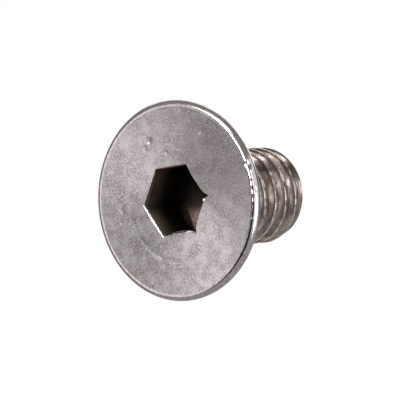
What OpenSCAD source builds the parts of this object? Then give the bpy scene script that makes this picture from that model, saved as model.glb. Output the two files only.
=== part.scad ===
// Countersunk hexagon socket screw, fully threaded, metric coarse.
// It stands on its head: the flat face lies on z = 0 and the shank points up.
// The axis of the screw is the Z axis. Sizes are in millimetres.

/* [Head] */
// Diameter at the widest part of the head
head_d = 12; // [10:0.5:16]
// Included angle of the countersunk cone, in degrees
cone_angle = 90; // [82:1:100]
// Radius of the rounding between the flat face and the edge of the head
rim_r = 0.3; // [0.1:0.05:0.5]
// Height of the straight edge between the rounding and the cone
land_h = 0.15; // [0.05:0.05:0.5]

/* [Socket] */
// Width of the hexagon socket across its flats
socket_af = 4; // [3:0.5:5]
// Depth of the socket's straight walls
socket_depth = 2.9; // [1.5:0.1:3.5]
// Included angle of the conical bottom left by the punch, in degrees
socket_bottom_angle = 160; // [118:1:172]
// Diameter of the blunt point at the middle of the conical bottom
socket_point_d = 0.4; // [0.1:0.1:1]
// Width of the chamfer on each edge of the socket's mouth
mouth_chamfer = 0.1; // [0.05:0.01:0.2]

/* [Shank] */
// Overall length, from the flat face to the end of the shank
screw_l = 10; // [8:1:25]
// Length of the plain neck between the cone and the thread
neck_l = 0.3; // [0.2:0.1:1]
// Radius of the fillet between the cone and the neck
neck_fillet_r = 0.4; // [0.2:0.05:0.6]
// Length of the chamfer at the end of the shank
end_chamfer_l = 1.1; // [0.4:0.1:1.5]
// How far the edge of the flat end lies inside the root of the thread
end_inset = 0.3; // [0.1:0.05:0.8]

/* [Thread] */
// Nominal diameter of the thread
thread_d = 6; // [5:0.1:8]
// Pitch of the thread
pitch = 1; // [0.75:0.05:1.25]
// How much smaller than nominal the finished thread is, on its diameter
thread_allowance = 0.12; // [0.03:0.01:0.2]
// Angle round the axis at which the ridge starts, in degrees
start_angle = 233; // [0:1:359]
// Turns over which the first ridge rises out of the neck
lead_in_turns = 1.25; // [0.25:0.25:1.5]
// Flat facets to each turn of the ridge
turn_steps = 48; // [24:4:60]

/* [Hidden] */
$fn = 96;

// Metric thread: a 60 degree triangle, cut off at its crest and its root
flank_angle = 30;
triangle_h = pitch / 2 / tan(flank_angle);
crest_flat = pitch / 8;
crest_r = (thread_d - thread_allowance) / 2;
root_r = crest_r - triangle_h * 17 / 24;
// The thread is rolled from a blank as thick as its pitch diameter
neck_r = crest_r - triangle_h * 3 / 8;

head_r = head_d / 2;
edge_h = rim_r + land_h;
head_h = edge_h + (head_r - neck_r) / tan(cone_angle / 2);
thread_z = head_h + neck_l;
end_r = root_r - end_inset;
// The core and the ridge run on to this height before the end is cut
overrun_z = screw_l + 2 * pitch;

// Depth of the ridge's foot inside the core
bury = pitch / 12;
// Small overrun that keeps cut faces from coinciding
eps = 0.01;

steel = "#a39a9c";

// Height at which the end chamfer has radius r
function chamfer_z(r) = screw_l - end_chamfer_l * (r - end_r) / (crest_r - end_r);

// Fillet in the corner between the cone and the neck, drawn in section
module neck_fillet_section() {
  half = cone_angle / 2;
  reach = neck_fillet_r * tan(half / 2);
  difference() {
    polygon([
      [neck_r - eps, head_h - eps],
      [neck_r + reach * sin(half), head_h - reach * cos(half)],
      [neck_r, head_h + reach],
      [neck_r - eps, head_h + reach]
    ]);
    translate([neck_r + neck_fillet_r, head_h + reach])
      circle(r = neck_fillet_r);
  }
}

// Half section of the head, the neck and the core that carries the thread
module core_section() {
  polygon([
    [0, 0],
    [head_r - rim_r, 0],
    [head_r - rim_r, rim_r],
    [head_r, rim_r],
    [head_r, edge_h],
    [neck_r, head_h],
    [neck_r, thread_z],
    [root_r, thread_z + neck_r - root_r],
    [root_r, overrun_z],
    [0, overrun_z]
  ]);
  translate([head_r - rim_r, rim_r])
    circle(r = rim_r);
  neck_fillet_section();
}

// What the cut removes to leave the flat end and its chamfer, on core and thread at once
module end_cut() {
  outside_r = crest_r + crest_flat;
  rotate_extrude()
    polygon([
      [0, screw_l],
      [end_r, screw_l],
      [outside_r, chamfer_z(outside_r)],
      [outside_r, overrun_z + pitch],
      [0, overrun_z + pitch]
    ]);
}

// Half the height of the ridge along the axis, at radius r
function ridge_half(r) = crest_flat / 2 + (crest_r - r) * tan(flank_angle);

// The four corners of the ridge's section at step i along the helix
// They lie half a step on, so that none of them meets the edge of the neck
function ridge_corners(i) =
  let (
    turns = (i + 0.5) / turn_steps,
    foot_r = root_r - bury,
    rise = min(1, turns / lead_in_turns),
    tip_r = foot_r + eps + (crest_r - foot_r - eps) * rise,
    angle = start_angle + 360 * turns,
    z = thread_z + pitch * turns
  )
  [for (corner = [[foot_r, -1], [tip_r, -1], [tip_r, 1], [foot_r, 1]])
    [
      corner[0] * cos(angle),
      corner[0] * sin(angle),
      z + corner[1] * ridge_half(corner[0])
    ]
  ];

// Right-hand helical ridge with a trapezoid section, closed at both ends
module thread_ridge() {
  steps = ceil((overrun_z - pitch - thread_z) / pitch * turn_steps);
  walls = [
    for (i = [0:steps - 1], k = [0:3])
      let (a = 4 * i + k, b = 4 * i + (k + 1) % 4)
      each [[a, b, a + 4], [b, b + 4, a + 4]]
  ];
  last = 4 * steps;
  start_cap = [[0, 3, 2], [0, 2, 1]];
  end_cap = [[last, last + 1, last + 2], [last, last + 2, last + 3]];
  polyhedron(
    points = [for (i = [0:steps]) each ridge_corners(i)],
    faces = concat(start_cap, walls, end_cap)
  );
}

// Hexagon socket with its mouth in the flat face and two corners on the Y axis
module socket() {
  corner_r = socket_af / 2 / cos(30);
  mouth_r = corner_r + mouth_chamfer / cos(30);
  point_r = socket_point_d / 2;
  bottom_h = (corner_r - point_r) / tan(socket_bottom_angle / 2);
  rotate([0, 0, 30]) {
    translate([0, 0, -eps])
      cylinder(h = socket_depth + eps, r = corner_r, $fn = 6);
    translate([0, 0, -eps])
      cylinder(h = mouth_chamfer + eps, r1 = mouth_r + eps, r2 = corner_r, $fn = 6);
    intersection() {
      translate([0, 0, socket_depth - eps])
        cylinder(h = bottom_h, r1 = corner_r, r2 = point_r);
      cylinder(h = screw_l, r = corner_r, $fn = 6);
    }
  }
}

module screw() {
  color(steel)
    difference() {
      union() {
        rotate_extrude()
          core_section();
        thread_ridge();
      }
      end_cut();
      socket();
    }
}

screw();
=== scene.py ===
# %% [markdown]
# # A countersunk socket screw
# This script gives a packed screw its finished look. The screw is one piece of stainless steel, and it
# stands on its head: the flat face lies on z = 0 and the shank points up the Z axis.
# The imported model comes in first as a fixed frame. Every size and place below is worked out from it or
# from a named value in millimetres.

# %% Load the frame
import math
import random

import bmesh
import bpy
from mathutils import Matrix, Vector, noise


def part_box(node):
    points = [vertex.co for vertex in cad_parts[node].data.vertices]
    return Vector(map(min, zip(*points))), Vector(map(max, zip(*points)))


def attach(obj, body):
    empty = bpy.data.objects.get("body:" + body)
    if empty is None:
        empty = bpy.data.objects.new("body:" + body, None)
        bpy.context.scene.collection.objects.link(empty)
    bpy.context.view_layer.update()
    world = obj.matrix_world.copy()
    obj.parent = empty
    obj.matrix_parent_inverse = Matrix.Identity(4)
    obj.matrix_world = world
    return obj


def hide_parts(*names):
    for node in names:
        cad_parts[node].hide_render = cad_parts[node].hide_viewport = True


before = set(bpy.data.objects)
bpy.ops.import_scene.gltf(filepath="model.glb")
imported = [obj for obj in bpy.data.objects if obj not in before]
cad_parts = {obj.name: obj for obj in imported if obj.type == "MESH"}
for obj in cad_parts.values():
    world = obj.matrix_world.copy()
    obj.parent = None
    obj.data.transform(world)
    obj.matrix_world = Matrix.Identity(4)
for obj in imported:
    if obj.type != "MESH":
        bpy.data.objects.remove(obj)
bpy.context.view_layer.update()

MM = 0.001
low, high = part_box("screw")
print("screw in the frame:", [round(c / MM, 2) for c in high - low], "mm")

# %% [markdown]
# ## Sizes
# The outside sizes come from the frame. The others are those of a metric thread of 6 mm and of the head
# that goes with it. A thread is a 60 degree triangle with its crest and its root cut off, so its radii
# follow from its outside radius and its pitch. Its crests have since worn down by a few hundredths of a
# millimetre, which also leaves them a little broader.

# %% Sizes
head_r = high.x
screw_l = high.z
rim_r = 0.3 * MM
edge_h = 0.45 * MM
cone_half_angle = math.radians(45)

pitch = 1.0 * MM
full_crest_r = 2.94 * MM
flank_angle = math.radians(30)
triangle_h = pitch / 2 / math.tan(flank_angle)
root_r = full_crest_r - triangle_h * 17 / 24
neck_r = full_crest_r - triangle_h * 3 / 8
crest_wear = 0.04 * MM
crest_r = full_crest_r - crest_wear
crest_flat = pitch / 8 + 2 * (full_crest_r - crest_r) * math.tan(flank_angle)

neck_l = 0.3 * MM
head_h = edge_h + (head_r - neck_r) / math.tan(cone_half_angle)
thread_z = head_h + neck_l
thread_start = math.radians(233)
lead_in_turns = 1.25
end_r = root_r - 0.3 * MM
end_chamfer_l = 1.1 * MM

socket_flat = 2.0 * MM
socket_depth = 2.9 * MM
socket_bottom_slope = math.tan(math.radians(10))

# Steps to a full turn of every spin
AROUND = 300
print("thread radii:", round(crest_r / MM, 3), round(root_r / MM, 3), "head height:", round(head_h / MM, 2))

# %% [markdown]
# ## Five finishes on one piece
# The screw is one piece, but its surfaces came about in different ways: rolled, forged, punched and worn.
# Each could be an object of its own, but then there would be seams between them. So it's one mesh, and each
# face carries the number of its finish. The finishes themselves are made further down, in this order.

# %% Number the finishes
THREAD, HEAD_FACE, RIM, CONE, SOCKET = range(5)


def set_finish(faces, finish):
    for face in faces:
        face.material_index = finish


# %% [markdown]
# ## The thread
# On the real screw the thread is rolled: two dies press the groove into the blank, and the metal flows up
# between them into the ridge. In a mesh it could be a stack of rings, but rings don't climb, and the eye
# sees that at once. A spin whose steps also rise makes a true helix: the outline of one ridge is turned
# once round the axis and lifted by one pitch as it goes. After one turn it ends exactly one pitch above
# its start, so copies set one pitch apart meet each other, and the whole thread is a stack of them.
# The corners of the outline are rounded before the spin, because a bevelled corner costs a few points
# there and thousands afterwards.

# %% Helpers for outlines
def outline(bm, points):
    """A chain of edges through points given as (radius, height), in the plane of the X and Z axes."""
    verts = [bm.verts.new((radius, 0, height)) for radius, height in points]
    return [bm.edges.new(pair) for pair in zip(verts, verts[1:])]


def round_corners(bm, corners, reach, segments):
    """Rounds corners given as (radius, height). reach is how far each arc runs along its sides."""
    places = {(round(radius, 8), round(height, 8)) for radius, height in corners}
    found = [v for v in bm.verts if v.is_wire and (round(v.co.x, 8), round(v.co.z, 8)) in places]
    bmesh.ops.bevel(bm, geom=found, offset=reach, offset_type="OFFSET", segments=segments,
                    profile=0.5, affect="VERTICES", clamp_overlap=True, material=-1)


def join(bm, other):
    """Adds one mesh under construction to another. Each spin is quick in a small mesh of its own."""
    step = bpy.data.meshes.new("step")
    other.to_mesh(step)
    other.free()
    bm.from_mesh(step)
    bpy.data.meshes.remove(step)


# %% Spin the thread
crest_rounding = 0.035 * MM
root_rounding = 0.065 * MM


def crest_height(azimuth):
    """Height of the first crest's middle at this azimuth, before the lead-in is taken off."""
    turns = (azimuth - thread_start) / math.tau
    return thread_z + pitch * (turns - math.floor(turns))


half_crest = crest_flat / 2
half_root = half_crest + (crest_r - root_r) * math.tan(flank_angle)
points = [(root_r, -pitch / 2), (root_r, -half_root), (crest_r, -half_crest),
          (crest_r, half_crest), (root_r, half_root), (root_r, pitch / 2)]
ridge = bmesh.new()
edges = outline(ridge, points)
bmesh.ops.subdivide_edges(ridge, edges=[edges[1], edges[3]], cuts=5)
round_corners(ridge, points[2:4], crest_rounding, 3)
round_corners(ridge, [points[1], points[4]], root_rounding, 3)
bmesh.ops.spin(ridge, geom=ridge.verts[:] + ridge.edges[:], cent=(0, 0, 0), axis=(0, 0, 1),
               dvec=(0, 0, pitch / AROUND), angle=math.tau, steps=AROUND, use_merge=False)

body = bmesh.new()
first = crest_height(0) - 2 * pitch
for k in range(math.ceil((screw_l - first) / pitch) + 1):
    copy = ridge.copy()
    bmesh.ops.translate(copy, verts=copy.verts, vec=(0, 0, first + k * pitch))
    join(body, copy)
ridge.free()
bmesh.ops.remove_doubles(body, verts=body.verts[:], dist=0.0005 * MM)
print("thread before trimming:", len(body.verts), "points")

# %% [markdown]
# ## The ends of the thread
# The helix runs past both ends of the thread. Two cuts trim it to a flat start at the neck and a flat end,
# and then its points are brought in towards the axis. Near the neck the ridge grows out of the plain
# shank over the first turns, as the dies leave it. At the other end a chamfer runs across the last ridges,
# so the screw finds its hole.
# The painted shade between the ridges and the wear on their crests must follow them round, and no rule on
# place alone could. So each point also notes how far below the crest it lies, as a value called crest_gap
# that the finish can read.

# %% Helpers for points round the axis
def radius_of(co):
    return math.hypot(co.x, co.y)


def azimuth_of(co):
    return math.atan2(co.y, co.x)


def set_radius(vert, radius):
    factor = radius / radius_of(vert.co)
    vert.co.x *= factor
    vert.co.y *= factor


# %% Trim the thread, lead it in and chamfer its end
neck_top = thread_z - 0.12 * MM
# Up to this share of its rise the ridge has no crest yet, and all of it counts as this far below, in mm
low_ridge, deep_gap = 0.2, 0.4


def cut(bm, height, keep_above):
    """Cuts all of a mesh at a height and sets the points of the cut exactly on it."""
    made = bmesh.ops.bisect_plane(bm, geom=bm.verts[:] + bm.edges[:] + bm.faces[:], dist=0.0001 * MM,
                                  plane_co=(0, 0, height), plane_no=(0, 0, 1),
                                  clear_inner=keep_above, clear_outer=not keep_above)
    for vert in (g for g in made["geom_cut"] if isinstance(g, bmesh.types.BMVert)):
        vert.co.z = height


def core_radius(height):
    """Plain shank under the ridge: thick at the neck, then down to the root of the thread."""
    return max(root_r, min(neck_r, neck_r - (height - thread_z)))


def chamfer_radius(height):
    return end_r + (screw_l - height) * (crest_r - end_r) / end_chamfer_l


cut(body, neck_top, keep_above=True)
cut(body, screw_l, keep_above=False)
crest_gap = body.verts.layers.float.new("crest_gap")
for vert in body.verts:
    from_crest = (vert.co.z - crest_height(azimuth_of(vert.co))) / pitch
    crest_z = vert.co.z - pitch * (from_crest - round(from_crest))
    rise = (crest_z - thread_z) / (lead_in_turns * pitch)
    core = core_radius(vert.co.z)
    tip = root_r + (crest_r - root_r) * max(0.0, min(1.0, rise))
    radius = max(core, min(radius_of(vert.co), tip)) if rise > 0 else core
    set_radius(vert, min(radius, chamfer_radius(vert.co.z)))
    vert[crest_gap] = (tip - radius_of(vert.co)) / MM if rise > low_ridge else deep_gap
set_finish(body.faces, THREAD)
print("thread after trimming:", len(body.verts), "points")

# %% [markdown]
# ## The end of the shank
# The blank was cropped from wire, and the rolling left its end nearly flat with a shallow hollow. One flat
# face could close it, but has no points to sink. So the open ring at the end is extruded inwards a few
# times, each time drawn in a little, and the last ring is merged to one point.

# %% Close the end
def open_ring(bm, height):
    """The open edges of a mesh that lie at a height."""
    near = 0.01 * MM
    return [e for e in bm.edges if e.is_boundary and all(abs(v.co.z - height) < near for v in e.verts)]


def extrude_ring(bm, ring, finish):
    """Extrudes a ring of edges, gives the new faces a finish and returns the new ring and its points."""
    made = bmesh.ops.extrude_edge_only(bm, edges=ring)["geom"]
    set_finish([g for g in made if isinstance(g, bmesh.types.BMFace)], finish)
    new_ring = [g for g in made if isinstance(g, bmesh.types.BMEdge) and g.is_boundary]
    return new_ring, [g for g in made if isinstance(g, bmesh.types.BMVert)]


def close_ring(bm, ring, finish, height):
    """Extrudes a ring of edges to one point on the axis."""
    ring_verts = extrude_ring(bm, ring, finish)[1]
    bmesh.ops.pointmerge(bm, verts=ring_verts, merge_co=(0, 0, height))


# Share of the end's radius, and depth of the hollow there in mm
hollow = ((0.96, 0.0), (0.88, 0.015), (0.7, 0.03), (0.45, 0.035), (0.2, 0.035))
ring = open_ring(body, screw_l)
for share, sink in hollow:
    ring, ring_verts = extrude_ring(body, ring, THREAD)
    for vert in ring_verts:
        set_radius(vert, end_r * share)
        vert.co.z = screw_l - sink * MM
close_ring(body, ring, THREAD, screw_l - hollow[-1][1] * MM)
print("end closed:", not open_ring(body, screw_l))

# %% [markdown]
# ## The head
# The head is forged, and its rim and cone are finished smooth. Seen in section it's a short outline:
# the edge of the face, a small rounding, a narrow straight edge, the cone and a fillet into the neck.
# Spinning that outline once round the axis makes all of it, with the corners rounded beforehand.

# %% Spin the head
face_ring_r = head_r - rim_r - 0.1 * MM
cone_edge_rounding = 0.04 * MM
neck_fillet = 0.4 * MM * math.tan(cone_half_angle / 2)
# The head stops just below the thread, and the gap is bridged when both are there
head_top = neck_top - 0.02 * MM
head = bmesh.new()
section = [(face_ring_r, 0), (head_r, 0), (head_r, edge_h), (neck_r, head_h), (neck_r, head_top)]
edges = outline(head, section)
bmesh.ops.subdivide_edges(head, edges=[edges[2]], cuts=12)
for corner, reach, segments in zip(section[1:4], (rim_r, cone_edge_rounding, neck_fillet), (9, 3, 5)):
    round_corners(head, [corner], reach, segments)
bmesh.ops.spin(head, geom=head.verts[:] + head.edges[:], cent=(0, 0, 0), axis=(0, 0, 1),
               angle=math.tau, steps=AROUND, use_merge=True)
for face in head.faces:
    face.material_index = RIM if face.calc_center_median().z < edge_h else CONE
print("head spun:", len(head.faces), "faces")

# %% [markdown]
# ## The mouth of the socket
# The hexagon was driven in by a punch, and keys have worn its mouth since. Most of its sides are bowed
# inwards, two corners are torn, a burr of metal hangs over near one of them, and the sides that take the
# load have a broad worn edge. A hexagon could be cut out of the face by a boolean, but that leaves long
# thin triangles that spoil the shine. So the outline of the mouth is worked out for any azimuth. Then the
# inner edge of the rim is extruded inwards ring by ring, and each ring is a little less round and a little
# more like the mouth. That makes the face a clean grid.

# %% Helpers for marks at an azimuth
def around(azimuth, radius=1.0):
    """The place at an azimuth and a radius, level with the face."""
    return Vector((radius * math.cos(azimuth), radius * math.sin(azimuth), 0))


def angle_between(a, b):
    return abs((a - b + math.pi) % math.tau - math.pi)


def bell(away, width, power=2):
    """1 in the middle, falling smoothly to 0 past the width. A higher power gives it a flat top."""
    return math.exp(-(away / width) ** power)


# %% The outline of the mouth
# How far the middle of each side is bowed in, and how wide its worn edge is, in mm, by its azimuth
side_bow = {0: 0.20, 60: 0.0, 120: 0.0, 180: 0.03, 240: 0.11, 300: 0.09}
side_wear = {0: 0.15, 60: 0.14, 120: 0.02, 180: 0.08, 240: 0.04, 300: 0.06}
# How uneven the worn edge is, how closely its wide spots follow each other and how fast it narrows
wear_unevenness, wear_spots, wear_taper = 0.45, 14, 2.4
# Azimuth of each torn corner in degrees, how far it's torn in mm and over how many degrees
torn_corners = ((-31, 0.15, 4.0), (-90, 0.17, 3.0))
burr_corner, burr_width, burr_reach = math.radians(-84.0), math.radians(2.4), 0.13 * MM


def nearest_side(azimuth):
    """Azimuth of the middle of the nearest side of the hexagon, in whole degrees."""
    return round(math.degrees(azimuth) / 60) * 60


def socket_radius(azimuth, bow_share):
    """Radius of the hexagon at an azimuth. Its corners lie on the Y axis and at every 60 degrees."""
    side = nearest_side(azimuth)
    off = math.radians(math.degrees(azimuth) - side)
    along = math.tan(off) / math.tan(math.radians(30))
    flat = socket_flat - side_bow[side % 360] * MM * (1 - along ** 2) * bow_share
    torn = sum(far * MM * bell(angle_between(azimuth, math.radians(at)), math.radians(over))
               for at, far, over in torn_corners)
    burr = burr_reach * bell(angle_between(azimuth, burr_corner), burr_width)
    return flat / math.cos(off) + (torn - burr) * bow_share


def wear_width(azimuth):
    """Width of the worn edge: each side has its own, uneven along it and narrower at the corners."""
    side = nearest_side(azimuth)
    fade = math.cos(math.radians((math.degrees(azimuth) - side) * wear_taper))
    uneven = 1 + wear_unevenness * noise.noise(around(azimuth) * wear_spots)
    return side_wear[side % 360] * MM * uneven * (0.5 + 0.5 * fade)


# %% Draw the face in from the rim to the mouth
FACE_RINGS = 40
ring = open_ring(head, 0)
for k in range(1, FACE_RINGS + 1):
    ring, ring_verts = extrude_ring(head, ring, HEAD_FACE)
    for vert in ring_verts:
        azimuth = azimuth_of(vert.co)
        mouth_r = socket_radius(azimuth, 1) + wear_width(azimuth)
        set_radius(vert, face_ring_r + (mouth_r - face_ring_r) * k / FACE_RINGS)
print("face:", sum(f.material_index == HEAD_FACE for f in head.faces), "faces")

# %% [markdown]
# ## Inside the socket
# The ring of the mouth is extruded down into the head. The first steps make the worn edge, which falls
# away steeply on the side where the key has pressed hardest. The next ones make the straight walls, where
# the bowed sides return to the true hexagon, and the last ones the shallow conical bottom that the punch
# left, closed at a small blunt point.

# %% Sink the socket
# How much of the worn edge is left at each depth in mm
walls = ((0.35, 0.03), (0.08, 0.07), (0.0, 0.16), (0.0, 0.3), (0.0, 0.6), (0.0, 1.0), (0.0, 1.4),
         (0.0, 1.8), (0.0, 2.2), (0.0, 2.6), (0.0, socket_depth / MM))
# How deep the first rings go instead on the steep side, and how many degrees it reaches either way
steep_depth = {0.03: 0.126, 0.07: 0.145}
steep_reach = 25
# Depth in mm at which the sides are straight again
bow_depth = 0.6
# Size of each ring of the conical bottom, as a share of the hexagon
bottom_rings = (0.92, 0.75, 0.5, 0.25, 0.08)
for wear_share, depth in walls:
    ring, ring_verts = extrude_ring(head, ring, SOCKET)
    bow_share = max(0.0, 1 - depth / bow_depth)
    for vert in ring_verts:
        azimuth = azimuth_of(vert.co)
        steep = bell(math.degrees(azimuth), steep_reach, 4)
        set_radius(vert, socket_radius(azimuth, bow_share) + wear_width(azimuth) * wear_share)
        vert.co.z = (depth + (steep_depth.get(depth, depth) - depth) * steep) * MM
for share in bottom_rings:
    ring, ring_verts = extrude_ring(head, ring, SOCKET)
    for vert in ring_verts:
        radius = socket_radius(azimuth_of(vert.co), 0) * share
        set_radius(vert, radius)
        vert.co.z = socket_depth + (socket_flat - min(radius, socket_flat)) * socket_bottom_slope
close_ring(head, ring, SOCKET, socket_depth + socket_flat * socket_bottom_slope)
print("socket:", sum(f.material_index == SOCKET for f in head.faces), "faces")

# %% [markdown]
# ## Head and thread together
# Head and thread now each end in an open ring at the neck, one just above the other. Merging them would
# need the points to fall together, so the narrow gap is bridged with new faces instead.

# %% Join the head to the thread
join(body, head)
neck_gap = open_ring(body, head_top) + open_ring(body, neck_top)
set_finish(bmesh.ops.bridge_loops(body, edges=neck_gap)["faces"], CONE)
print("edges left open:", sum(not e.is_manifold for e in body.edges))

# %% [markdown]
# ## Dents, nicks and pressed marks
# A used screw isn't a perfect solid. Its face carries dents from other screws, a ring pressed in round the
# socket and some scratches, and its edge is chipped along one side. They could be painted, but a real dent
# catches light on one side and loses it on the other, so all but the scratches are moved into the mesh.
# Every mark goes into the metal and never out of it, so the head keeps its size. A dent also rubs the grain
# smooth, so each point notes how much, as a value called polish that the finish can read.

# %% List the dents
# Radius in mm, azimuth in degrees, width in mm and depth in mm
dents = [(3.97, 160.2, 0.22, 0.045), (3.77, 153.0, 0.16, 0.035), (4.03, 87.6, 0.12, 0.03),
         (4.26, 80.0, 0.14, 0.025), (2.88, 176.0, 0.09, 0.03), (4.54, -146.4, 0.12, 0.02),
         (4.90, 118.0, 0.10, 0.02), (3.10, -30.0, 0.10, 0.02), (4.75, 12.0, 0.12, 0.018)]
SMALL_DENTS = 70
rng = random.Random(11)
for _ in range(SMALL_DENTS):
    dents.append((rng.uniform(2.7, 5.5), rng.uniform(-180, 180),
                  rng.uniform(0.06, 0.11), rng.uniform(0.004, 0.012)))
dent_places = [(around(math.radians(at), radius) * MM, width * MM, deep * MM)
               for radius, at, width, deep in dents]

# %% Press the marks in
# The pressed ring is a shade oval and covers only the stretch round one azimuth
pressed_ring_r, pressed_ring_w, pressed_ring_deep = 3.5 * MM, 0.09 * MM, 0.014 * MM
pressed_ring_at, pressed_ring_reach = math.radians(48), math.radians(42)
pressed_ring_oval = 0.12 * MM
# The face as a whole is wavy by a few thousandths of a millimetre
wave_deep, waves_per_mm = 0.004 * MM, 1.6
# Past this many widths a dent has run out
dent_end = 2.5


def inward(vert, depth):
    """Moves a point of the flat face into the metal."""
    vert.co.z += depth


polish = body.verts.layers.float.new("polish")
face_verts = {v for f in body.faces if f.material_index == HEAD_FACE for v in f.verts}
inner_edge = {v for f in body.faces if f.material_index in (SOCKET, RIM) for v in f.verts}
for vert in face_verts - inner_edge:
    place = Vector((vert.co.x, vert.co.y, 0))
    azimuth = azimuth_of(place)
    depth = 0.0
    for middle, width, deep in dent_places:
        away = (place - middle).length / width
        if away < dent_end:
            depth += deep * bell(away, 1)
            vert[polish] = max(vert[polish], bell(away, 1))
    ring_fade = bell(angle_between(azimuth, pressed_ring_at), pressed_ring_reach, 4)
    off_ring = place.length - pressed_ring_r - pressed_ring_oval * math.cos(azimuth * 2)
    depth += pressed_ring_deep * ring_fade * bell(off_ring, pressed_ring_w)
    depth += wave_deep * (1 + noise.noise(place / MM * waves_per_mm))
    inward(vert, depth)
print("marks pressed in:", len(dents), "dents and a ring")

# %% Roll the edge off and chip the rim
roll_off_r = 5.5 * MM
roll_off = 0.10 / MM
chipped_side, chipped_reach = math.radians(-82), math.radians(32)
# Depth of the chips all round and on the chipped side, in mm, and how closely they follow each other
chip_anywhere, chip_on_side, chip_spots = 0.006, 0.11, 26
# Height of the chipped corner and how far the chips reach above and below it
corner_h, corner_reach = 0.06 * MM, 0.10 * MM
# The noise below this leaves the edge whole, and a chip goes this much as deep down into the face
whole_below, face_share = 0.05, 0.5
for vert in body.verts:
    radius = radius_of(vert.co)
    if vert.co.z > edge_h or radius < roll_off_r:
        continue
    inward(vert, roll_off * (radius - roll_off_r) ** 2 * (1 - vert.co.z / edge_h))
    if radius < face_ring_r:
        continue
    azimuth = azimuth_of(vert.co)
    on_side = bell(angle_between(azimuth, chipped_side), chipped_reach, 4)
    spots = max(0.0, noise.noise(around(azimuth) * chip_spots) - whole_below)
    chip = spots * (chip_anywhere + chip_on_side * on_side) * MM
    at_corner = bell(vert.co.z - corner_h, corner_reach)
    set_radius(vert, radius - chip * at_corner)
    inward(vert, chip * face_share * at_corner)
print("widest point after chipping:", round(max(radius_of(v.co) for v in body.verts) / MM, 3), "mm")

# %% [markdown]
# ## One closed skin
# Spinning and bridging leave some faces turned inside out. Once the doubles are merged and the skin is
# closed, one call turns every face outwards. Smooth shading then hides the facets, and edges sharper than
# 35 degrees are kept crisp, which keeps the hexagon's corners and the crests of the thread.

# %% Finish the mesh
bmesh.ops.remove_doubles(body, verts=body.verts[:], dist=0.0003 * MM)
bmesh.ops.recalc_face_normals(body, faces=body.faces[:])
for face in body.faces:
    face.smooth = True
print("closed:", all(e.is_manifold for e in body.edges), "volume:",
      round(body.calc_volume() / MM ** 3, 1), "mm3, triangles:", sum(len(f.verts) - 2 for f in body.faces))
mesh = bpy.data.meshes.new("screw_steel")
body.to_mesh(mesh)
body.free()
mesh.set_sharp_from_angle(angle=math.radians(35))
screw = bpy.data.objects.new("screw_steel", mesh)
bpy.context.scene.collection.objects.link(screw)

# %% [markdown]
# ## Effects that the finishes share
# All of the screw is one steel, so its finishes share their grain, their stains and their measure of place.
# Each of those could be wired into every material again, but then a change would have to be made in each.
# So each is a node group, built once and set in a material with its own values. The shader itself stays in
# the material.

# %% Helpers for nodes
def add(tree, kind, **settings):
    made = tree.nodes.new(kind)
    for name, value in settings.items():
        setattr(made, name, value)
    return made


def give(tree, socket, value):
    """Links a socket to another one, or sets it to a number or a colour."""
    if isinstance(value, bpy.types.NodeSocket):
        tree.links.new(value, socket)
    else:
        socket.default_value = value


def feed(tree, made, **inputs):
    """Gives a node its inputs by name, with _ for a space."""
    for name, value in inputs.items():
        give(tree, made.inputs[name.replace("_", " ")], value)
    return made


def math_node(tree, operation, a, b=0.0, clamp=False):
    made = add(tree, "ShaderNodeMath", operation=operation, use_clamp=clamp)
    give(tree, made.inputs[0], a)
    give(tree, made.inputs[1], b)
    return made.outputs[0]


def times(tree, a, b):
    return math_node(tree, "MULTIPLY", a, b)


def ramp(tree, value, low_in, high_in, low_out=0.0, high_out=1.0):
    """Goes smoothly from low_out at low_in to high_out at high_in, and stays level outside them."""
    made = add(tree, "ShaderNodeMapRange", interpolation_type="SMOOTHSTEP")
    feed(tree, made, Value=value, From_Min=low_in, From_Max=high_in, To_Min=low_out, To_Max=high_out)
    return made.outputs["Result"]


def blend(tree, share, a, b):
    """A colour between a and b. Each is a colour or a socket."""
    made = add(tree, "ShaderNodeMix", data_type="RGBA")
    # The node has sockets for numbers and vectors too, so the ones for colours are told by their number
    for number, value in ((0, share), (6, a), (7, b)):
        give(tree, made.inputs[number], value)
    return made.outputs[2]


def layer(tree, under, mask, strength, colour):
    """Lays a colour over another one where a mask is, as strongly as asked."""
    return blend(tree, times(tree, mask, strength), under, colour)


# %% Helpers for groups
in_mm = 1 / MM


def new_group(name, inputs, outputs):
    tree = bpy.data.node_groups.new(name, "ShaderNodeTree")
    for socket_name in inputs:
        tree.interface.new_socket(socket_name, in_out="INPUT", socket_type="NodeSocketFloat")
    for socket_name in outputs:
        tree.interface.new_socket(socket_name, in_out="OUTPUT", socket_type="NodeSocketFloat")
    return tree, add(tree, "NodeGroupInput"), add(tree, "NodeGroupOutput")


def group_node(tree, group, **inputs):
    return feed(tree, add(tree, "ShaderNodeGroup", node_tree=group), **inputs)


def object_place(tree):
    """Where a point lies on the object, in metres."""
    return add(tree, "ShaderNodeTexCoord").outputs["Object"]


def cloud_noise(tree, scale, detail, roughness, place=None):
    """A noise texture in the object's own space, or at a place given to it."""
    made = add(tree, "ShaderNodeTexNoise")
    feed(tree, made, Vector=place or object_place(tree), Scale=scale, Detail=detail, Roughness=roughness)
    return made.outputs["Fac"]


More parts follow.
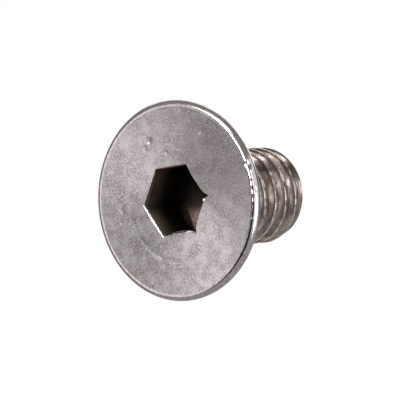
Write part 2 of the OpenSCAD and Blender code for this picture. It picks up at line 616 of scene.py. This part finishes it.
# %% Place on the screw, in mm
# Side is how far a point lies towards the side between -X and -Y
place_group, _, result = new_group("place on the screw", [], ["X", "Y", "Height", "Radius", "Side"])
axes = add(place_group, "ShaderNodeSeparateXYZ")
place_group.links.new(object_place(place_group), axes.inputs[0])
x, y, z = (axes.outputs[axis] for axis in "XYZ")
squares = math_node(place_group, "ADD", math_node(place_group, "POWER", x, 2.0),
                    math_node(place_group, "POWER", y, 2.0))
from_axis = math_node(place_group, "SQRT", squares)
sideways = times(place_group, math_node(place_group, "ADD", x, y), -in_mm * math.sqrt(0.5))
feed(place_group, result, X=times(place_group, x, in_mm), Y=times(place_group, y, in_mm),
     Height=times(place_group, z, in_mm), Radius=times(place_group, from_axis, in_mm), Side=sideways)

# %% Steel grain
grain_group, source, result = new_group("steel grain", ["Grains per mm"], ["Tone", "Relief", "Sparkle"])
per_metre = times(grain_group, source.outputs["Grains per mm"], in_mm)
coarse = cloud_noise(grain_group, per_metre, 3.0, 0.65)
fine = cloud_noise(grain_group, times(grain_group, per_metre, 2.1), 2.0, 0.6)
feed(grain_group, result, Tone=ramp(grain_group, coarse, 0.32, 0.68),
     Relief=math_node(grain_group, "ADD", coarse, fine), Sparkle=ramp(grain_group, fine, 0.63, 0.72))

# %% Stains
stain_group, source, result = new_group("stains", ["Stains per mm"], ["Stain"])
per_metre = times(stain_group, source.outputs["Stains per mm"], in_mm)
stains = cloud_noise(stain_group, per_metre, 4.0, 0.55)
feed(stain_group, result, Stain=ramp(stain_group, stains, 0.40, 0.66))

# %% Streaks that run round the thread, and fine turned rings
streak_group, _, result = new_group("rolled streaks", [], ["Streak"])
round_per_mm, up_per_mm = 0.8, 5
stretched = feed(streak_group, add(streak_group, "ShaderNodeMapping"), Vector=object_place(streak_group),
                 Scale=(round_per_mm * in_mm, round_per_mm * in_mm, up_per_mm * in_mm))
streaks = cloud_noise(streak_group, 1.0, 3.0, 0.6, place=stretched.outputs["Vector"])
feed(streak_group, result, Streak=ramp(streak_group, streaks, 0.34, 0.66))

turned_group, source, result = new_group("turned rings", ["Radius", "Rings per mm"], ["Relief"])
ring_count = times(turned_group, source.outputs["Radius"], source.outputs["Rings per mm"])
rings = feed(turned_group, add(turned_group, "ShaderNodeTexNoise", noise_dimensions="1D"),
             W=ring_count, Scale=1.0, Detail=2.0)
feed(turned_group, result, Relief=rings.outputs["Fac"])
print("shared effects:", [group.name for group in bpy.data.node_groups])


# %% A steel finish
def new_steel(name):
    """An empty metal material and its shader."""
    material = bpy.data.materials.new(name)
    material.use_nodes = True
    tree = material.node_tree
    return material, tree, feed(tree, tree.nodes["Principled BSDF"], Metallic=1.0)


def raise_surface(tree, shader, relief, distance):
    bump = feed(tree, add(tree, "ShaderNodeBump"), Height=relief, Distance=distance)
    tree.links.new(bump.outputs["Normal"], shader.inputs["Normal"])


# %% [markdown]
# ## The face
# The face is matt with a fine grain and has stained and rubbed patches, a darker side and scratches, with
# painted sparkle in its grain and a painted glint on the burr. An image could hold all that, but it would
# have one fixed sharpness. Layers of noise stay sharp at any distance: each one lays its colour over the
# last where its mask is. The scratches lie in chosen places, and each is a long thin ellipse. The grain also
# stretches the highlights, which the shader does by itself when it's told to be anisotropic.

# %% The face
dark_grain, light_grain = (0.18, 0.159, 0.168, 1), (0.57, 0.518, 0.537, 1)
cloud_grey, warm_stain = (0.25, 0.218, 0.226, 1), (0.36, 0.31, 0.275, 1)
rubbed_pale, darker_side_tone = (0.68, 0.63, 0.65, 1), (0.20, 0.175, 0.182, 1)
painted_sparkle_white, scratch_dark, painted_glint_white = (0.95, 0.92, 0.94, 1), (0.12, 0.10, 0.10, 1), (1, 1, 1, 1)
# Radius in mm and azimuth in degrees, lean in degrees, half length and half width in mm
scratches = (((4.66, -171), 8, 0.35, 0.035), ((4.54, -146), 95, 0.42, 0.035),
             ((4.40, -149), 88, 0.30, 0.03), ((4.26, 80), 100, 0.30, 0.035),
             ((4.10, 84), 60, 0.22, 0.03), ((5.31, -144), 70, 0.26, 0.13),
             ((3.97, 160), 75, 0.20, 0.05), ((3.70, 152), 20, 0.16, 0.05),
             ((4.9, 30), 40, 0.30, 0.025), ((3.2, -120), 120, 0.25, 0.025))
burr_glint_spot = ((2.15, -84), 10, 0.10, 0.10)


def streak_mask(tree, place, lean, half_length, half_width):
    """1 inside a long thin ellipse on the flat face and 0 outside. place is (radius in mm, azimuth)."""
    radius, at = place
    turned_to_it = feed(tree, add(tree, "ShaderNodeMapping", vector_type="TEXTURE"),
                        Vector=object_place(tree), Location=around(math.radians(at)) * radius * MM,
                        Rotation=(0, 0, math.radians(lean)), Scale=(half_length * MM, half_width * MM, 1))
    away = add(tree, "ShaderNodeVectorMath", operation="LENGTH")
    tree.links.new(turned_to_it.outputs["Vector"], away.inputs[0])
    return ramp(tree, away.outputs["Value"], 1.0, 0.4)


face_steel, tree, shader = new_steel("face_steel")
place = group_node(tree, place_group)
grain = group_node(tree, grain_group, Grains_per_mm=9.0)
broad_stain, cloud, rubbed = (group_node(tree, stain_group, Stains_per_mm=per_mm).outputs["Stain"]
                              for per_mm in (0.55, 1.7, 1.1))
colour = blend(tree, grain.outputs["Tone"], dark_grain, light_grain)
colour = layer(tree, colour, cloud, 0.46, cloud_grey)
colour = layer(tree, colour, broad_stain, 0.22, warm_stain)
# Keys rub the steel a little more near the socket
rubbing = math_node(tree, "ADD", ramp(tree, place.outputs["Radius"], 3.4, 2.5, 0.0, 0.02), 0.42)
colour = layer(tree, colour, rubbed, rubbing, rubbed_pale)
# The face is darker towards the side between -X and -Y
colour = layer(tree, colour, ramp(tree, place.outputs["Side"], -5.0, 5.5), 0.64, darker_side_tone)
# White specks in the grain are painted sparkle, glints laid into the colour
colour = layer(tree, colour, grain.outputs["Sparkle"], 0.6, painted_sparkle_white)
scratched = 0.0
for scratch in scratches:
    scratched = math_node(tree, "MAXIMUM", streak_mask(tree, *scratch), scratched)
colour = layer(tree, colour, scratched, 0.55, scratch_dark)
# A white spot on the burr is a painted glint. It has little metal, so any lamp lights it
burr_glint = streak_mask(tree, *burr_glint_spot)
polished = add(tree, "ShaderNodeAttribute", attribute_name="polish").outputs["Fac"]
dull = ramp(tree, grain.outputs["Tone"], 0.0, 1.0, 0.50, 0.40)
feed(tree, shader, Base_Color=blend(tree, burr_glint, colour, painted_glint_white),
     Metallic=ramp(tree, burr_glint, 0.0, 1.0, 1.0, 0.2),
     Roughness=math_node(tree, "SUBTRACT", dull, times(tree, polished, 0.24)), Anisotropic=0.6)
raise_surface(tree, shader, grain.outputs["Relief"], 0.010 * MM)
print("face:", len(scratches), "scratches")

# %% [markdown]
# ## The rim and the cone
# The rim rubs against everything, so it's the smoothest and brightest part, with only faint stains. The
# cone has the fine rings that a turning tool leaves. A wave texture would make them all alike, but a noise
# of one dimension, read along the radius, gives rings of uneven width. The cone is painted darker towards
# the neck, as shade in the corner there.

# %% The rim
dark_grain, light_grain = (0.52, 0.475, 0.488, 1), (0.72, 0.675, 0.69, 1)
brown_stain = (0.42, 0.35, 0.32, 1)
rim_steel, tree, shader = new_steel("rim_steel")
grain = group_node(tree, grain_group, Grains_per_mm=5.0)
stain = group_node(tree, stain_group, Stains_per_mm=1.4).outputs["Stain"]
colour = blend(tree, grain.outputs["Tone"], dark_grain, light_grain)
feed(tree, shader, Base_Color=layer(tree, colour, stain, 0.35, brown_stain),
     Roughness=ramp(tree, grain.outputs["Tone"], 0.0, 1.0, 0.18, 0.10))
raise_surface(tree, shader, grain.outputs["Relief"], 0.002 * MM)

# %% The cone
dark_ring, light_ring = (0.34, 0.300, 0.300, 1), (0.56, 0.510, 0.510, 1)
brown_stain, neck_shade = (0.20, 0.15, 0.125, 1), (0.10, 0.070, 0.055, 1)
cone_steel, tree, shader = new_steel("cone_steel")
place = group_node(tree, place_group)
grain = group_node(tree, grain_group, Grains_per_mm=6.0)
stain = group_node(tree, stain_group, Stains_per_mm=0.8).outputs["Stain"]
turned = group_node(tree, turned_group, Radius=place.outputs["Radius"], Rings_per_mm=14.0)
colour = blend(tree, turned.outputs["Relief"], dark_ring, light_ring)
colour = layer(tree, colour, stain, 0.45, brown_stain)
# Painted shade: the cone is darker towards the neck
colour = layer(tree, colour, ramp(tree, place.outputs["Height"], 2.6, 3.8), 0.8, neck_shade)
feed(tree, shader, Base_Color=colour, Roughness=ramp(tree, grain.outputs["Tone"], 0.0, 1.0, 0.40, 0.26))
relief = math_node(tree, "ADD", turned.outputs["Relief"], grain.outputs["Relief"])
raise_surface(tree, shader, relief, 0.005 * MM)

# %% [markdown]
# ## The thread
# Rolling leaves the thread bright with streaks that run round it, and use leaves brown stains on it. The
# grooves and the flanks just under the crests are painted dark brown as shade, with the crests themselves
# rubbed bare in places. The layers read crest_gap, so the painted shade follows the ridges wherever they go.
# The shade is weaker towards +X, one side has a darker band, the end is dirty, and the neck is painted
# darker as shade.

# %% The thread
dark_streak, light_streak = (0.26, 0.197, 0.168, 1), (0.76, 0.680, 0.645, 1)
grain_pale, bare_crest = (0.60, 0.53, 0.49, 1), (0.60, 0.55, 0.55, 1)
under_crest_shade, groove_shade, brown_stain = (0.062, 0.034, 0.025, 1), (0.06, 0.040, 0.032, 1), (0.085, 0.048, 0.036, 1)
dark_band_and_lit_patch, end_dirt, neck_shade = (0.050, 0.027, 0.020, 1), (0.055, 0.036, 0.030, 1), (0.10, 0.068, 0.055, 1)
thread_steel, tree, shader = new_steel("thread_steel")
place = group_node(tree, place_group)
x_mm, height = place.outputs["X"], place.outputs["Height"]
grain = group_node(tree, grain_group, Grains_per_mm=7.0)
stain, breaks = (group_node(tree, stain_group, Stains_per_mm=per_mm).outputs["Stain"]
                 for per_mm in (1.1, 2.6))
streak = group_node(tree, streak_group).outputs["Streak"]
below = add(tree, "ShaderNodeAttribute", attribute_name="crest_gap").outputs["Fac"]
under_crest = ramp(tree, below, 0.23, 0.08)
in_groove = ramp(tree, below, 0.34, 0.44)
on_crest = ramp(tree, below, 0.045, 0.012)

# %% The layers of the thread
colour = blend(tree, streak, dark_streak, light_streak)
colour = layer(tree, colour, grain.outputs["Tone"], 0.2, grain_pale)
less_shade_towards_x = ramp(tree, ramp(tree, x_mm, 0.6, 2.4), 0.0, 1.0, 0.88, 0.25)
# Painted shade on the flanks just under the crests, weaker towards +X
colour = layer(tree, colour, under_crest, less_shade_towards_x, under_crest_shade)
# Painted shade in the grooves
colour = layer(tree, colour, in_groove, 0.6, groove_shade)
colour = layer(tree, colour, stain, 0.7, brown_stain)
rubbed_bare = math_node(tree, "SUBTRACT", 1.0, times(tree, breaks, 0.95))
colour = layer(tree, colour, on_crest, rubbed_bare, bare_crest)
# A darker band along one side of the thread, stronger towards the head
band = times(tree, ramp(tree, x_mm, -1.0, -1.35), ramp(tree, x_mm, -2.15, -1.85))
colour = layer(tree, colour, band, ramp(tree, height, 9.0, 6.0, 0.0, 0.9), dark_band_and_lit_patch)
at_end = times(tree, ramp(tree, height, 7.9, 8.3), ramp(tree, x_mm, -0.1, -0.9, 0.0, 0.85))
colour = layer(tree, colour, at_end, ramp(tree, x_mm, -2.1, -1.5, 0.12, 1.0), end_dirt)
# Painted shade: the thread is darker towards the neck
colour = layer(tree, colour, ramp(tree, height, 4.95, 4.3), 0.85, neck_shade)
# The metal is a little less metallic under the painted shade and in the stains
shade_and_stain = math_node(tree, "ADD", times(tree, under_crest, 0.15), times(tree, stain, 0.2))
feed(tree, shader, Base_Color=colour, Metallic=math_node(tree, "SUBTRACT", 1.0, shade_and_stain, clamp=True),
     Roughness=ramp(tree, streak, 0.0, 1.0, 0.34, 0.15))
raise_surface(tree, shader, math_node(tree, "ADD", streak, grain.outputs["Relief"]), 0.008 * MM)

# %% [markdown]
# ## The socket
# Old grease and dirt line the socket, so its walls are nearly black below the worn edge, and they are
# painted darker still with depth as shade. A painted pool of light makes them a little lighter near the
# mouth on one side. The worn edge itself is steel, broken into white pieces of painted glint on the side
# that the key presses, and red with rust on the side across from it. On the bottom a lighter patch is
# painted where light falls past the mouth, with a straight painted shadow edge. These places could be
# painted by hand, but each is bounded by a height or a side, so plain ramps find them.

# %% The socket
dark_grain, light_grain = (0.40, 0.36, 0.36, 1), (0.72, 0.68, 0.68, 1)
edge_rust, painted_glint_edge = (0.16, 0.045, 0.040, 1), (0.92, 0.95, 0.94, 1)
upper_wall, shaded_deep_wall = (0.062, 0.043, 0.030, 1), (0.014, 0.009, 0.007, 1)
soot, painted_wall_light = (0.022, 0.015, 0.012, 1), (0.20, 0.155, 0.105, 1)
lit_patch_dim, lit_patch_bright = (0.078, 0.045, 0.036, 1), (0.19, 0.132, 0.112, 1)
# Direction across the straight painted shadow edge of the lit patch on the bottom, and how far out that edge
# lies, in mm
shadow_edge_across, shadow_edge_span = (-0.287, -0.958), (-1.53, -1.43)
socket_steel, tree, shader = new_steel("socket_steel")
place = group_node(tree, place_group)
x_mm, y_mm, height = place.outputs["X"], place.outputs["Y"], place.outputs["Height"]
grain = group_node(tree, grain_group, Grains_per_mm=7.0)
stain, broken = (group_node(tree, stain_group, Stains_per_mm=per_mm).outputs["Stain"]
                 for per_mm in (1.3, 4.0))
past_worn_edge = ramp(tree, height, 0.06, 0.24)
rusty_side = ramp(tree, x_mm, -1.5, -1.9)

# %% The layers of the socket
edge = blend(tree, grain.outputs["Tone"], dark_grain, light_grain)
edge = blend(tree, rusty_side, edge, edge_rust)
# White pieces along the worn edge on one side are painted glints: white and little metal, so any lamp lights
# them
painted_glints = times(tree, ramp(tree, x_mm, 1.55, 1.70), ramp(tree, broken, 0.42, 0.62))
edge = blend(tree, painted_glints, edge, painted_glint_edge)
# The walls are painted darker with depth, as shade deep in the socket, over their dark grease
wall = blend(tree, ramp(tree, height, 0.3, 1.8), upper_wall, shaded_deep_wall)
wall = layer(tree, wall, stain, 0.6, soot)
# A painted pool of light on the walls near the mouth on one side
lit_side = times(tree, ramp(tree, x_mm, 0.0, 0.8), ramp(tree, height, 1.3, 0.1))
wall = layer(tree, wall, lit_side, 0.6, painted_wall_light)
colour = blend(tree, past_worn_edge, edge, wall)
# The painted pool of light on the bottom has a straight painted shadow edge
outwards = math_node(tree, "ADD", times(tree, x_mm, shadow_edge_across[0]), times(tree, y_mm, shadow_edge_across[1]))
painted_lit_patch = times(tree, ramp(tree, x_mm, 0.2, 1.1), ramp(tree, outwards, *shadow_edge_span))
on_bottom = ramp(tree, height, socket_depth / MM - 0.02, socket_depth / MM)
# The lit patch is painted lighter than the dark bottom round it
dark_band_and_lit_patch = blend(tree, grain.outputs["Tone"], lit_patch_dim, lit_patch_bright)
colour = layer(tree, colour, painted_lit_patch, on_bottom, dark_band_and_lit_patch)
crusted = math_node(tree, "MAXIMUM", past_worn_edge, rusty_side)
bare_bottom = ramp(tree, height, 0.8, 2.4, 0.0, 0.5)
metal = math_node(tree, "ADD", ramp(tree, crusted, 0.0, 1.0, 1.0, 0.4), bare_bottom, clamp=True)
ragged = times(tree, painted_glints, ramp(tree, height, 0.20, 0.12, 0.0, 0.9))
feed(tree, shader, Base_Color=colour, Metallic=math_node(tree, "SUBTRACT", metal, ragged, clamp=True),
     Roughness=ramp(tree, past_worn_edge, 0.0, 1.0, 0.20, 0.45))
raise_surface(tree, shader, grain.outputs["Relief"], 0.008 * MM)

# %% Give the screw its finishes
for finish in (thread_steel, face_steel, rim_steel, cone_steel, socket_steel):
    screw.data.materials.append(finish)
print("finishes:", {finish.name: len(finish.node_tree.nodes) for finish in screw.data.materials})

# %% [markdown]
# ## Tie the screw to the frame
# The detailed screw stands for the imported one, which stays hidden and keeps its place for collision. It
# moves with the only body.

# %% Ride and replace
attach(screw, "root")
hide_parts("screw")

# %% [markdown]
# ## The camera
# The screw is seen from the side of its face, so the camera is below the surface that it stands on. A long
# lens from far away keeps the ellipses of the head nearly true. It's rolled so that the shank points right
# and a little up.

# %% Place the camera
tilt = math.radians(37.4)
roll = math.radians(3.5)
turn = Matrix.Rotation(math.radians(4.7), 3, "Z")
camera_far = 280 * MM
# Width of the view at the face, and how far its middle lies to the right of the face's middle and above it
view_width = 23.7389 * MM
view_right, view_up = 1.4837 * MM, 0.0297 * MM
toward = turn @ Vector((0, -math.sin(tilt), -math.cos(tilt)))
along = turn @ Vector((0, -math.cos(tilt), math.sin(tilt)))
across = turn @ Vector((-1, 0, 0))
right = math.cos(roll) * along - math.sin(roll) * across
up = math.sin(roll) * along + math.cos(roll) * across
lens = bpy.data.cameras.new("camera")
lens.sensor_width = 36.0
lens.lens = lens.sensor_width * camera_far / view_width
lens.clip_start, lens.clip_end = 0.01, 10.0
camera = bpy.data.objects.new("camera", lens)
camera.location = toward * camera_far + right * view_right + up * view_up
camera.rotation_euler = Matrix((right, up, toward)).transposed().to_euler()
bpy.context.scene.collection.objects.link(camera)
bpy.context.scene.camera = camera
print("lens:", round(lens.lens), "mm")

# %% [markdown]
# ## Floor and light
# Bare metal shows mostly what it reflects, so it's lit by what stands round it and not by lamps alone. A
# white surround gives the pale ground and the bright lines on the edges. Grey cards above, below, in front
# and to the sides take the glare out of the broad surfaces, two dark ones stand on the viewer's side, and
# two pale ones stand at the left and behind. Soft square lamps make the highlights. The one on the left is
# a strip, because the rim mirrors a lamp as a line as thin as the lamp is narrow, while the face takes
# light from all of its length. The floor is seen only from above, where it takes the screw's shadow, and
# lets the camera look up through it.

# %% Helpers for cards and lamps
middle = Vector((0, 0, screw_l / 2))


def seen_from_camera(to_right, to_up, to_camera):
    """A direction given as the camera sees it."""
    return (right * to_right + up * to_up + toward * to_camera).normalized()


def flat_card(name, size, place, facing, material):
    """A square card at a place, turned to face a direction."""
    bm = bmesh.new()
    bmesh.ops.create_grid(bm, x_segments=1, y_segments=1, size=size / 2)
    card_mesh = bpy.data.meshes.new(name)
    bm.to_mesh(card_mesh)
    bm.free()
    card = bpy.data.objects.new(name, card_mesh)
    card.location = place
    card.rotation_euler = facing.to_track_quat("Z", "Y").to_euler()
    card.data.materials.append(material)
    bpy.context.scene.collection.objects.link(card)
    return card


def reflected_card(name, direction, distance, size, radiance):
    """A card that only shows in the metal. radiance is its brightness in a mirror, where 1 is white."""
    paint = bpy.data.materials.new(name + "_paint")
    paint.use_nodes = True
    tree = paint.node_tree
    glow = feed(tree, add(tree, "ShaderNodeEmission"), Color=(1, 0.97, 0.95, 1), Strength=radiance)
    tree.links.new(glow.outputs[0], tree.nodes["Material Output"].inputs["Surface"])
    card = flat_card(name, size, middle + direction * distance, -direction, paint)
    card.visible_camera = card.visible_diffuse = card.visible_shadow = card.visible_transmission = False


def soft_lamp(name, direction, distance, size, radiance, length=None, lies_along=None):
    """A lamp facing the screw: a square, or a strip of some length that lies along a direction."""
    data = bpy.data.lights.new(name, "AREA")
    data.shape = "RECTANGLE"
    data.size, data.size_y = length or size, size
    # A lamp of this power looks as bright in a mirror as its radiance says
    data.energy = 4 * radiance * data.size * size
    lamp = bpy.data.objects.new(name, data)
    lamp.location = middle + direction * distance
    crossways = direction.cross(lies_along or direction.orthogonal()).normalized()
    facing = Matrix((crossways.cross(direction), crossways, direction)).transposed()
    lamp.rotation_euler = facing.to_euler()
    bpy.context.scene.collection.objects.link(lamp)


# %% Build the floor
floor_size = 0.6
floor_paint = bpy.data.materials.new("floor_paint")
floor_paint.use_nodes = True
tree = floor_paint.node_tree
matt = feed(tree, tree.nodes["Principled BSDF"], Base_Color=(0.86, 0.86, 0.86, 1), Roughness=0.9)
clear = add(tree, "ShaderNodeBsdfTransparent")
by_side = add(tree, "ShaderNodeMixShader")
from_below = add(tree, "ShaderNodeNewGeometry").outputs["Backfacing"]
for socket, value in zip(by_side.inputs, (from_below, matt.outputs[0], clear.outputs[0])):
    give(tree, socket, value)
tree.links.new(by_side.outputs[0], tree.nodes["Material Output"].inputs["Surface"])
floor = flat_card("floor", floor_size, Vector((0, 0, 0)), Vector((0, 0, 1)), floor_paint)
floor.visible_shadow = floor.visible_diffuse = floor.visible_glossy = floor.visible_transmission = False
print("floor:", floor_size, "m square")

# %% Light the world
# The surround looks white to the camera and in the metal, and lights the screw a little less than that
world = bpy.data.worlds.new("surround")
bpy.context.scene.world = world
world.use_nodes = True
tree = world.node_tree
lighting = feed(tree, tree.nodes["Background"], Color=(1, 1, 1, 1), Strength=0.7)
looks_white = feed(tree, add(tree, "ShaderNodeBackground"), Color=(1, 1, 1, 1), Strength=1.0)
path = add(tree, "ShaderNodeLightPath")
seen = math_node(tree, "MAXIMUM", path.outputs["Is Camera Ray"], path.outputs["Is Glossy Ray"])
seen = math_node(tree, "MAXIMUM", seen, path.outputs["Is Transmission Ray"])
by_ray = add(tree, "ShaderNodeMixShader")
for socket, value in zip(by_ray.inputs, (seen, lighting.outputs[0], looks_white.outputs[0])):
    give(tree, socket, value)
tree.links.new(by_ray.outputs[0], tree.nodes["World Output"].inputs["Surface"])

# %% Stand the cards and the lamps
# Direction, distance in metres, size in metres and radiance
reflected_card("dark_card", seen_from_camera(-0.61, -0.33, 0.72), 0.50, 0.42, 0.01)
reflected_card("dark_strip", seen_from_camera(-0.905, -0.01, 0.42), 0.45, 0.10, 0.01)
reflected_card("grey_front", seen_from_camera(-0.55, 0.30, 0.78), 0.46, 0.32, 0.33)
reflected_card("left_card", seen_from_camera(-0.99, -0.05, 0.10), 0.50, 0.12, 1.3)
reflected_card("grey_left", seen_from_camera(-0.85, -0.05, -0.52), 0.40, 0.50, 0.25)
reflected_card("grey_right", seen_from_camera(0.85, 0.12, -0.5), 0.40, 0.50, 0.22)
reflected_card("grey_ceiling", seen_from_camera(-0.25, 0.96, 0.0), 0.30, 1.2, 0.30)
reflected_card("grey_table", seen_from_camera(0, -1, 0), 0.30, 1.1, 0.40)
reflected_card("back_card", seen_from_camera(0, 0.70, -0.71), 0.28, 0.24, 1.5)
soft_lamp("left_lamp", seen_from_camera(-0.805, 0.205, 0.557), 0.40, 0.10, 8.6,
          length=0.19, lies_along=seen_from_camera(0.21, -0.78, 0.59))
soft_lamp("window_lamp", seen_from_camera(-0.50, 0.65, 0.57), 0.40, 0.11, 7)
soft_lamp("front_lamp", seen_from_camera(-0.08, 0.22, 0.97), 0.40, 0.12, 1.3)
soft_lamp("right_lamp", seen_from_camera(0.5, -0.22, 0.83), 0.40, 0.25, 2.4)
soft_lamp("top_lamp", Vector((-0.3, -0.2, 1)).normalized(), 0.40, 0.30, 1.2)
print("lamps:", [lamp.name for lamp in bpy.data.lights])

bpy.context.scene.view_settings.view_transform = "Standard"
